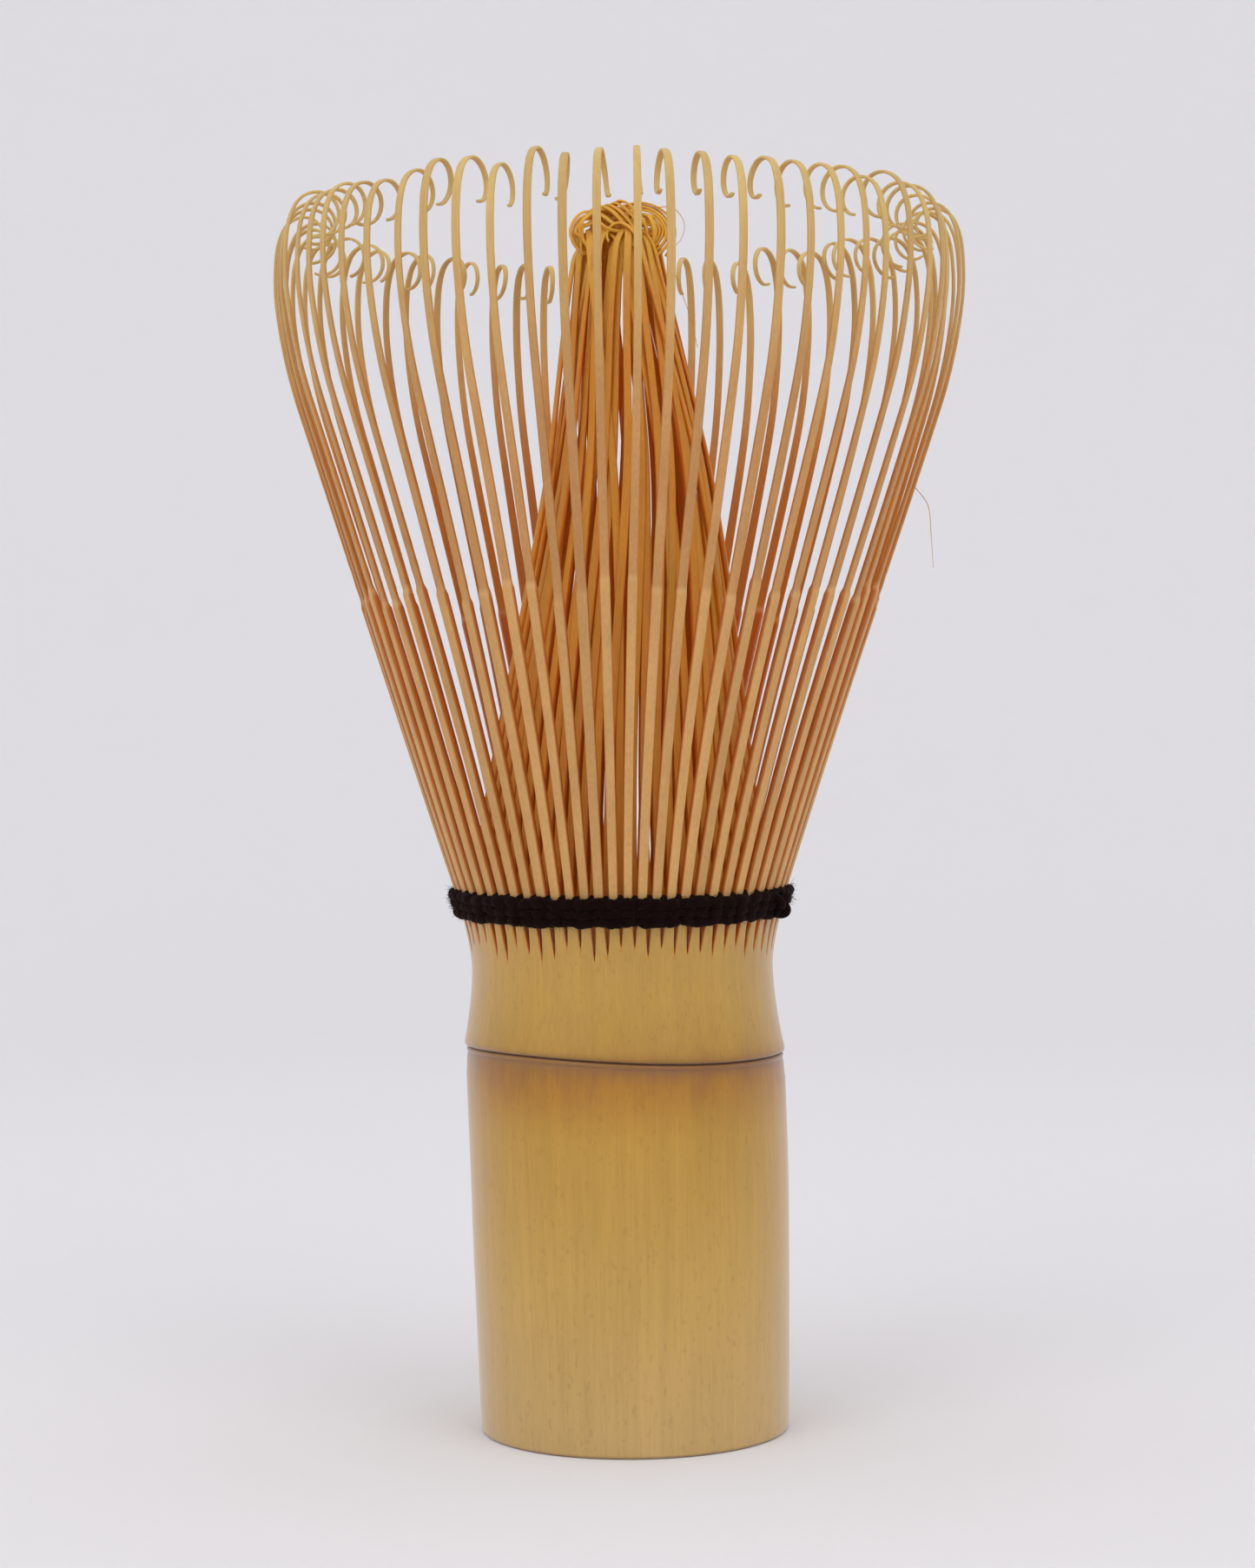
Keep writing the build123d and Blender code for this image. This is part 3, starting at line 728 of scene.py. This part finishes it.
# Curled ends that show on the knot, in millimetres from its middle: X right, Y away, Z up. Each is a
# path, the step from one copy to the next, how much smaller each copy is, and the number of copies.
KNOT_CURLS = (
    # the open ring on the left
    (((-0.8, 0.2, 0.9), (-2.0, -0.8, 1.6), (-2.95, -1.4, 1.65), (-3.8, -1.6, 1.05), (-4.2, -1.6, 0.0),
      (-4.0, -1.6, -1.2), (-3.2, -1.5, -1.85), (-2.2, -1.2, -1.75), (-1.3, -0.6, -1.2)),
     (0.04, 0.10, 0.0), 0.15, 3),
    # the bands that cross over the top from left to right
    (((-2.3, 0.9, -0.2), (-2.2, 0.2, 1.4), (-1.5, -0.8, 2.15), (-0.7, -1.6, 1.85), (0.1, -2.15, 1.0),
      (0.8, -2.35, 0.0), (1.2, -2.2, -1.1), (1.2, -1.5, -2.3)),
     (0.52, 0.0, 0.20), 0.02, 4),
    (((-2.2, 0.4, -0.6), (-2.3, -0.5, 0.8), (-1.7, -1.5, 1.4), (-0.8, -2.0, 0.8), (-0.1, -2.2, 0.0),
      (0.5, -2.0, -1.0), (0.6, -1.4, -2.0)),
     (0.30, 0.10, -0.20), 0.04, 2),
    # the cluster of curls on the right
    (((0.2, 0.9, 1.0), (1.1, 0.1, 2.2), (2.6, -0.8, 2.1), (3.9, -1.3, 1.25), (4.6, -1.5, 0.0),
      (4.4, -1.5, -1.3), (3.5, -1.4, -2.2), (2.3, -1.2, -2.5)),
     (-0.02, -0.11, 0.0), 0.15, 6),
    (((-0.6, 1.2, 1.6), (0.6, 0.4, 2.5), (2.4, -0.2, 2.6), (4.0, -0.6, 1.9), (5.0, -0.7, 0.6),
      (5.0, -0.7, -0.9), (4.2, -0.6, -2.3)),
     (-0.25, 0.3, 0.0), 0.08, 3),
    # the short pale ends at the front
    (((-1.9, -1.7, 1.1), (-1.6, -2.3, 0.45), (-0.9, -2.65, -0.1), (-0.1, -2.75, -0.35), (0.75, -2.7, -0.4)),
     (0, 0, 0), 0.0, 1),
    (((1.5, -1.9, -0.2), (1.4, -2.5, -1.1), (1.15, -2.6, -1.8), (0.75, -2.5, -2.45)),
     (0, 0, 0), 0.0, 1),
)


def spline_points(controls, steps=8):
    """Points of a smooth curve through all the controls."""
    ends = [controls[0] * 2 - controls[1], *controls, controls[-1] * 2 - controls[-2]]
    points = []
    for a, b, c, d in zip(ends, ends[1:], ends[2:], ends[3:]):
        for k in range(steps):
            t = k / steps
            square = (a * 2 - b * 5 + c * 4 - d) * t**2
            cube = (b * 3 - a - c * 3 + d) * t**3
            points.append((b * 2 + (c - a) * t + square + cube) / 2)
    return points + [controls[-1]]


def strip_along(shape, points, width, thickness, tone, inside):
    """A flat strip through the points, with its back towards `inside`."""
    stations, length = [], 0.0
    for i, place in enumerate(points):
        ahead = (points[min(i + 1, len(points) - 1)] - points[max(i - 1, 0)]).normalized()
        out = place - inside
        face = (out - ahead * out.dot(ahead)).normalized()
        length += (place - points[i - 1]).length if i else 0.0
        stations.append((place, ahead, face, length))

    def narrow(station):
        return width * (1 - 0.45 * smooth(station[3], length - 3, length))

    def facts(station):
        return {"shaved": 1.0, "tip": 1.0, "tone": 0.35 + 0.65 * tone}

    sweep_strip(shape, stations, narrow, lambda station: thickness, facts)


def make_inner_knot():
    """The tangle in which the inner tines' ends hold one another."""
    rng = random.Random(SEED + 5)
    shape = Shape(*TINE_FACTS)
    middle = Vector((0, 0, KNOT_Z))
    for spin in (0, 130, 230):
        # the front's curls are in their places, and smaller, looser ones go round the back
        front = spin == 0
        size, loose = (1.0, 0.06) if front else (0.86, 0.41)
        turn = Matrix.Rotation(math.radians(spin), 3, "Z")
        for path, aside, shrink, copies in KNOT_CURLS:
            for copy in range(copies if front else max(1, copies - 2)):
                heart = sum((Vector(p) for p in path), Vector()) / len(path)
                controls = []
                for p in path:
                    nested = heart + (Vector(p) - heart) * (1 - shrink * copy)
                    place = turn @ (nested * size + Vector(aside) * copy)
                    controls.append(place + random_vector(rng) * loose)
                points = [middle + p for p in spline_points(controls)]
                inside = middle + turn @ (heart * size)
                width, thickness = rng.uniform(0.42, 0.50), rng.uniform(0.17, 0.23)
                strip_along(shape, points, width, thickness, rng.random(), inside)
    obj = shape.make_object("inner_tine_knot", INNER_BAMBOO)
    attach(obj, "root")


def make_fibres():
    """Hair-thin fibres that the carver's knife left: two at the knot and one on the right."""
    def hair(name, body, *controls):
        shape = Shape(*TINE_FACTS)
        points = spline_points([Vector(c) for c in controls], steps=10)
        sweep_tube(shape, points, lambda t: FIBRE_R - 0.02 * t, sides=6)
        obj = shape.make_object(name, INNER_BAMBOO if body == "root" else OUTER_BAMBOO)
        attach(obj, body)

    hair("fibre_loop", "root",
         (3.6, -0.9, 109.6), (4.8, -1.4, 109.5), (5.7, -1.8, 108.6),
         (5.95, -1.9, 107.5), (5.6, -1.8, 106.5), (5.0, -1.5, 105.9))
    hair("fibre_bundle", "root",
         (4.6, -1.6, 104.6), (5.1, -1.8, 103.4), (5.7, -1.9, 101.6), (6.5, -2.0, 99.2), (7.0, -2.0, 96.8))
    angle = tine_angle(1)
    side = polar(1, angle + math.pi / 2, 0)
    hair("fibre_tine", JOINTS[0]["child"],
         polar(26.2, angle, 84.5), polar(27.6, angle, 82.6) + side * 0.2,
         polar(27.9, angle, 80.0) + side * 0.4, polar(28.1, angle, 77.0) + side * 0.3)


def make_inner_tines():
    """One object to a split, all on the root."""
    for split in range(SPLITS):
        shape = Shape(*TINE_FACTS)
        for number in range(split * TINES_PER_SPLIT, (split + 1) * TINES_PER_SPLIT):
            inner_tine(shape, number)
        obj = shape.make_object(f"inner_tines_{split + 1:02d}", INNER_BAMBOO)
        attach(obj, "root")
        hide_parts(f"inner_split_{split + 1:02d}")


# ---- Culm -----------------------------------------------------------------------------------------
def out_of_round(angle, height):
    """Small swellings of the living culm, in millimetres."""
    place = Vector((math.cos(angle) * 0.9, math.sin(angle) * 0.9, height * 0.035))
    return 0.09 * noise.noise(place + Vector((3.1, 0, 0))) + 0.05 * math.sin(2 * angle + 0.7)


def handle_radius(height):
    swell = SHOULDER_R - FOOT_R
    return FOOT_R + swell * math.sin(min(1.0, height / (NODE_Z - 4)) * math.pi / 2)


def make_handle():
    """The internode in the hand, with its foot, its bore and the crease of the growth node."""
    around = 168
    # rows of radius, height and darkness, the node line's tint with painted shade: the foot's rounded edge,
    # the wall, the crease
    rows = [(FOOT_R - 0.30, 0.0, 0.0), (FOOT_R - 0.12, 0.05, 0.35), (FOOT_R - 0.02, 0.17, 0.2)]
    wall_top = NODE_Z - WALL_END_DROP
    for k in range(31):
        height = FOOT_LIFT + (wall_top - FOOT_LIFT) * k / 30
        rows.append((handle_radius(height), height, 0.0))
    # the crease, from the shoulder's radius and the node's height
    crease = (
        (0.0, -1.7, 0.0), (-0.02, -1.2, 0.05), (-0.05, -0.85, 0.20), (-0.08, -0.60, 0.40),
        (-0.13, -0.46, 0.62), (-0.12, -0.36, 0.60), (-0.06, -0.24, 0.40), (-0.04, -0.12, 0.38),
        (-0.12, 0.0, 0.6), (-0.36, 0.08, 1.0), (-1.2, 0.10, 1.0),
    )
    shoulder = handle_radius(NODE_Z) - 0.06
    rows += [(shoulder + out, NODE_Z + rise, dark) for out, rise, dark in crease]
    shape = Shape("crease", "cut")
    rings = []
    for radius, height, dark in rows:
        ring = []
        for i in range(around):
            angle = 2 * math.pi * i / around
            rise = node_tilt(angle) * smooth(height, NODE_Z - 6, NODE_Z - 1.5)
            r = radius + out_of_round(angle, height) * smooth(height, 0, 3)
            ring.append(shape.point(polar(r, angle, height + rise), crease=dark))
        rings.append(ring)
    shape.skin(rings)
    bore = (
        (BORE_R + 0.35, 0.0), (BORE_R + 0.08, 0.12), (BORE_R, 0.5), (BORE_R - 0.02, 12), (BORE_R + 0.02, 24),
        (BORE_R, NODE_Z + 0.1),
    )
    inner = []
    for radius, height in bore:
        ring = []
        for i in range(around):
            angle = 2 * math.pi * i / around
            rough = 0.10 * noise.noise(Vector((math.cos(angle) * 4, math.sin(angle) * 4, height * 0.2)))
            ring.append(shape.point(polar(radius + rough * smooth(height, 0.3, 3), angle, height), cut=0.0))
        inner.append(ring)
    first_cut = len(shape.faces)
    shape.bridge(inner[0], rings[0])
    shape.skin(inner, flip=True)
    last_cut = len(shape.faces)
    shape.bridge(rings[-1], inner[-1])
    obj = shape.make_object("culm_handle", CULM)
    obj.data.materials.append(CULM_CUT)
    for index in range(first_cut, last_cut):
        obj.data.polygons[index].material_index = 1
    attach(obj, "root")
    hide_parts("handle")


def make_septum():
    """The diaphragm of the growth node: a thin dished skin, slightly wrinkled, across the bore."""
    around, steps = 96, 12
    shape = Shape()
    rims = []
    for depth in (0.0, SEPTUM_T):
        middle = shape.point(Vector((0, 0, NODE_Z - SEPTUM_DISH - depth)))
        rings = []
        for k in range(1, steps + 1):
            share = k / steps
            ring = []
            for i in range(around):
                place = polar((BORE_R + SEPTUM_HOLD) * share, 2 * math.pi * i / around, 0)
                wrinkle = 0.12 * noise.noise(place * 0.45) + 0.05 * noise.noise(place * 1.4)
                dish = SEPTUM_DISH * (1 - share**2)
                ring.append(shape.point(place + Vector((0, 0, NODE_Z - dish - depth + wrinkle))))
            rings.append(ring)
        for i in range(around):
            shape.faces.append((middle, rings[0][i], rings[0][(i + 1) % around]))
        shape.skin(rings)
        rims.append(rings[-1])
    # the weld turns all the faces outwards
    shape.bridge(rims[0], rims[1])
    obj = shape.make_object("culm_septum", SEPTUM, weld=0.0001)
    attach(obj, "root")
    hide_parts("node_septum")


def neck_radius(height):
    if height > WAIST_Z:
        return flare_radius(height)
    share = (height - NODE_Z) / (WAIST_Z - NODE_Z)
    return WAIST_R + NODE_FLARE * (1 - share) ** 1.7


def make_neck():
    """The wall above the node, a column to a tine: one ring below the slits, and stubs between them."""
    shape = Shape("crease", "cut")
    low_rows, high_rows = 16, 12
    across = (0.0, 0.07, 0.3, 0.5, 0.7, 0.93, 1.0)
    # the lip that overhangs the crease of the node: out, up, and how dark it is, the node line's tint with
    # painted shade under the overhang
    lip = ((-1.1, 0.12, 0.9), (-0.34, 0.13, 0.9), (-0.10, 0.24, 0.35), (0.0, 0.5, 0.1))

    def slit(number):
        number %= TINES
        start = SLIT_Z + 0.8 * uneven(number, 5)
        return start, SLIT_W + 0.09 * uneven(number, 7), SLIT_TAPER + 0.5 * uneven(number, 8)

    def boundary(number):
        """Rows of (height, half gap) along one slit, from the node up."""
        start, width, taper = slit(number)
        rows = [(LIP_Z + (start - LIP_Z) * (k / low_rows), 0.0) for k in range(low_rows)]
        for k in range(high_rows + 1):
            height = start + (STUB_END - start) * (k / high_rows) ** 1.15
            rows.append((height, width / 2 * min(1.0, ((height - start) / taper) ** 0.8)))
        return rows

    for number in range(TINES):
        left, right = boundary(number - 1), boundary(number)
        angle_left, angle_right = slit_angle(number - 1), slit_angle(number)
        outer, inner = [], []
        for k, ((zl, gl), (zr, gr)) in enumerate(zip(left, right)):
            ring_out, ring_in = [], []
            for s in across:
                z = zl + (zr - zl) * s
                r = neck_radius(z)
                al = angle_left + gl / r
                ar = angle_right - gr / r
                angle = al + (ar - al) * s
                edge = 1.0 if s in (0.0, 1.0) else 0.0
                open_here = gl if s < 0.5 else gr
                shown = edge * min(1.0, open_here / 0.08)
                r += out_of_round(angle, z)
                wall = NECK_WALL + (SHAFT_T - NECK_WALL) * smooth(z, NODE_Z + 6, SLIT_Z - LEDGE_DROP)
                tilted = z + node_tilt(angle) * (1 - smooth(z, NODE_Z + 1, NODE_Z + 7))
                edge_place = polar(r - SLIT_EDGE_DROP * shown, angle, tilted)
                ring_out.append(shape.point(edge_place, cut=0.5 * shown))
                ring_in.append(shape.point(polar(r - wall, angle, tilted), cut=1.0))
            outer.append(ring_out)
            inner.append(ring_in)
        shape.skin(outer, closed=False)
        shape.skin(inner, closed=False, flip=True)
        for k in range(low_rows, low_rows + high_rows):
            side_left = (outer[k][0], inner[k][0], inner[k + 1][0], outer[k + 1][0])
            side_right = (outer[k][-1], outer[k + 1][-1], inner[k + 1][-1], inner[k][-1])
            for face in (side_left, side_right):
                # the cut sides get points of their own, so that they stay dark up to the edge
                own = [shape.point(shape.points[i].copy(), cut=1.0) for i in face]
                shape.faces.append(tuple(own))
        shape.bridge(outer[-1], inner[-1], closed=False)
        rows = []
        for out, rise, dark in lip:
            row = []
            for s in across:
                angle = angle_left + (angle_right - angle_left) * s
                r = neck_radius(NODE_Z + rise) + out + out_of_round(angle, NODE_Z + rise)
                row.append(shape.point(polar(r, angle, NODE_Z + rise + node_tilt(angle)), crease=dark))
            rows.append(row)
        shape.skin(rows, closed=False)
        shape.bridge(rows[-1], outer[0], closed=False)
        shape.bridge(inner[0], rows[0], closed=False)
    obj = shape.make_object("culm_neck", CULM, weld=0.0004)
    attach(obj, "root")
    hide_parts("neck_ring")


# ---- Thread ---------------------------------------------------------------------------------------
def thread_lift(angle):
    """The lacing lies a little lower at the front than at the sides and the back."""
    return 0.3 - 0.45 * smooth(-math.sin(angle), 0.0, 1.0)


def sweep_tube(shape, path, radius, sides=8, closed=False):
    """A round strand through the path's points, with capped ends unless it is closed."""
    rings = []
    count = len(path)
    normal = None
    for i, place in enumerate(path):
        before = path[i - 1] if closed or i > 0 else place
        after = path[(i + 1) % count] if closed or i < count - 1 else place
        ahead = (after - before).normalized()
        if normal is None:
            normal = ahead.orthogonal()
        normal = (normal - ahead * normal.dot(ahead)).normalized()
        across = ahead.cross(normal)
        size = radius(i / (count - 1)) if callable(radius) else radius
        rings.append([
            shape.point(place + (normal * math.cos(t) + across * math.sin(t)) * size)
            for t in (2 * math.pi * k / sides for k in range(sides))
        ])
    shape.skin(rings, flip=True)
    if closed:
        # the last ring meets the first with its points shifted to the nearest ones
        last, first = rings[-1], rings[0]

        def apart(shift):
            shifted = first[shift:] + first[:shift]
            return sum((shape.points[a] - shape.points[b]).length for a, b in zip(last, shifted))

        shift = min(range(sides), key=apart)
        shape.bridge(first[shift:] + first[:shift], last)
    else:
        shape.cap(rings[0])
        shape.cap(rings[-1], flip=True)


def make_thread():
    """Three courses round the stubs, and one turn of thread round every outer tine."""
    def thick(share):
        turn = 2 * math.pi * share
        return COURSE_R + 0.03 * math.sin(23 * turn) + 0.03 * math.sin(41 * turn + 1)

    shape = Shape()
    samples = TINES * 8
    for course in range(COURSES):
        base = THREAD_Z + COURSE_PITCH * (course - (COURSES - 1) / 2) - 0.08
        path = []
        for i in range(samples):
            angle = 2 * math.pi * i / samples
            over = math.cos((angle - tine_angle(0)) * TINES)
            round_place = Vector((math.cos(angle) * 9, math.sin(angle) * 9, course * 0.5))
            lift = 0.22 * noise.noise(round_place) + 0.12 * noise.noise(round_place * 4)
            uneven_lay = 0.12 * noise.noise(round_place * 3 + Vector((7, 0, 0)))
            r = flare_radius(base) + COURSE_OUT + 0.10 * over + uneven_lay
            path.append(polar(r, angle, base + lift + thread_lift(angle)))
        sweep_tube(shape, path, thick, sides=10, closed=True)
    # the lacing: up over the tine's face, through the slit, and down behind it
    path = []
    steps = 14
    for i in range(TINES * steps):
        phase = i / steps
        number = int(phase)
        turn = 2 * math.pi * (phase - number)
        jitter = 0.12 * uneven(number, 11)
        z = THREAD_Z + 0.12 + (LACE_RISE + jitter * 0.5) * math.cos(turn)
        depth = 0.52 * -math.sin(turn)
        r = flare_radius(min(z, HINGE_Z)) - 0.22 + (0.75 if depth > 0 else 0.55) * depth * 1.5
        angle = tine_angle(number) - PITCH * 0.5 + PITCH * (phase - number)
        path.append(polar(r, angle + 0.008 * jitter, z + thread_lift(angle)))
    sweep_tube(shape, path, LACE_R, sides=9, closed=True)
    obj = shape.make_object("thread_lacing", COTTON)
    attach(obj, "root")
    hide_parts("binding_thread")


def make_fuzz():
    """Short loose fibres that stand out of the cotton."""
    rng = random.Random(SEED)
    shape = Shape()
    for _ in range(FUZZ_HAIRS):
        angle = rng.uniform(0, 2 * math.pi)
        z = THREAD_Z + rng.uniform(-1.35, 1.3)
        # the roots lie on the band's rounded face
        outside = flare_radius(z) + 0.62 - 0.3 * abs(z - THREAD_Z) / 1.3
        base = polar(outside, angle, z + thread_lift(angle))
        out = (polar(1, angle, 0) + random_vector(rng) * 0.9).normalized()
        curl = random_vector(rng) * 0.3
        length = rng.uniform(0.25, 0.65)
        path = [base + out * (length * t) + curl * (t * t * length) for t in (0, 0.34, 0.67, 1.0)]
        sweep_tube(shape, path, lambda t: FUZZ_R - 0.010 * t, sides=3)
    # their lighter brown is a painted glint
    obj = shape.make_object("thread_fuzz", FUZZ_GLINT)
    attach(obj, "root")


def make_knot():
    """The small overhand knot that ends the lacing, on the right."""
    low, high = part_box("thread_knot")
    middle = (low + high) / 2 / MM
    out = Vector((middle.x, middle.y, 0)).normalized()
    across = Vector((0, 0, 1)).cross(out)
    up = Vector((0, 0, 1))
    centre = middle - out * 0.35 + up * 0.15
    path = []
    for i in range(70):
        t = 2 * math.pi * i / 69
        a = KNOT_LOOP * (math.sin(t) / 1.6 + math.sin(2 * t))
        b = KNOT_LOOP * (math.cos(t) / 1.6 - math.cos(2 * t))
        c = -KNOT_DEPTH * math.sin(3 * t)
        path.append(centre + across * a + up * b + out * c)
    shape = Shape()
    sweep_tube(shape, path, KNOT_STRAND_R, sides=9, closed=True)
    for sign in (1, -1):
        end = []
        for aside, down, back in ((0.2, 0.3, 0.0), (0.5, 0.7, 0.1), (0.65, 1.15, 0.3)):
            end.append(centre + across * (aside * sign) - up * down - out * back)
        sweep_tube(shape, end, lambda t: 0.30 - 0.08 * t, sides=8)
    obj = shape.make_object("thread_end_knot", COTTON)
    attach(obj, "root")
    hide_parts("thread_knot")


# ---- Studio ---------------------------------------------------------------------------------------
def make_floor():
    """A wide dish of pale paper: flat under the whisk, and curving up far behind it on all sides."""
    shape = Shape()
    profile = [(PAPER_FLAT * k / 6, 0.0) for k in range(1, 7)]
    for k in range(1, 13):
        t = math.pi / 2 * k / 12
        profile.append((PAPER_FLAT + PAPER_BEND * math.sin(t), PAPER_BEND * (1 - math.cos(t))))
    profile.append((PAPER_FLAT + PAPER_BEND, PAPER_BEND + PAPER_WALL))
    around = 96
    rings = []
    for radius, height in profile:
        ring = []
        for i in range(around):
            # a hair's breadth under the foot, so that the two never share a plane
            ring.append(shape.point(polar(radius, 2 * math.pi * i / around, height - 0.02)))
        rings.append(ring)
    shape.skin(rings, flip=True)
    shape.cap(rings[0])
    obj = shape.make_object("studio_floor", paper_material(), bent=False)


def make_studio():
    """Even light all round, a large soft lamp above and one on each side in front."""
    world = bpy.data.worlds.new("studio")
    world.use_nodes = True
    background = world.node_tree.nodes["Background"]
    background.inputs["Color"].default_value = (*rgb(240, 240, 241), 1)
    background.inputs["Strength"].default_value = WORLD_STRENGTH
    bpy.context.scene.world = world
    for name, place, size, watts in LAMPS:
        data = bpy.data.lights.new(name, "AREA")
        data.shape = "RECTANGLE"
        data.size, data.size_y = size
        data.energy = watts
        obj = add_object(name, data)
        obj.location = place
        obj.rotation_euler = (LAMP_AIM - Vector(place)).to_track_quat("-Z", "Y").to_euler()
    bpy.context.scene.view_settings.view_transform = "Standard"
    bpy.context.scene.view_settings.look = "None"


def make_camera():
    """Level with the middle of the whisk, about two and a half heights away."""
    data = bpy.data.cameras.new("camera")
    data.lens = CAMERA_LENS
    data.clip_start, data.clip_end = 0.01, 10
    obj = add_object("camera", data)
    obj.location = CAMERA_PLACE
    tilt = Matrix.Rotation(math.pi / 2 - CAMERA_DOWN, 3, "X")
    obj.rotation_euler = (tilt @ Matrix.Rotation(-CAMERA_ROLL, 3, "Z")).to_euler()
    bpy.context.scene.camera = obj


make_outer_tines()
make_inner_tines()
make_inner_knot()
make_fibres()
make_handle()
make_neck()
make_thread()
make_fuzz()
make_knot()
make_septum()
make_floor()
make_studio()
make_camera()
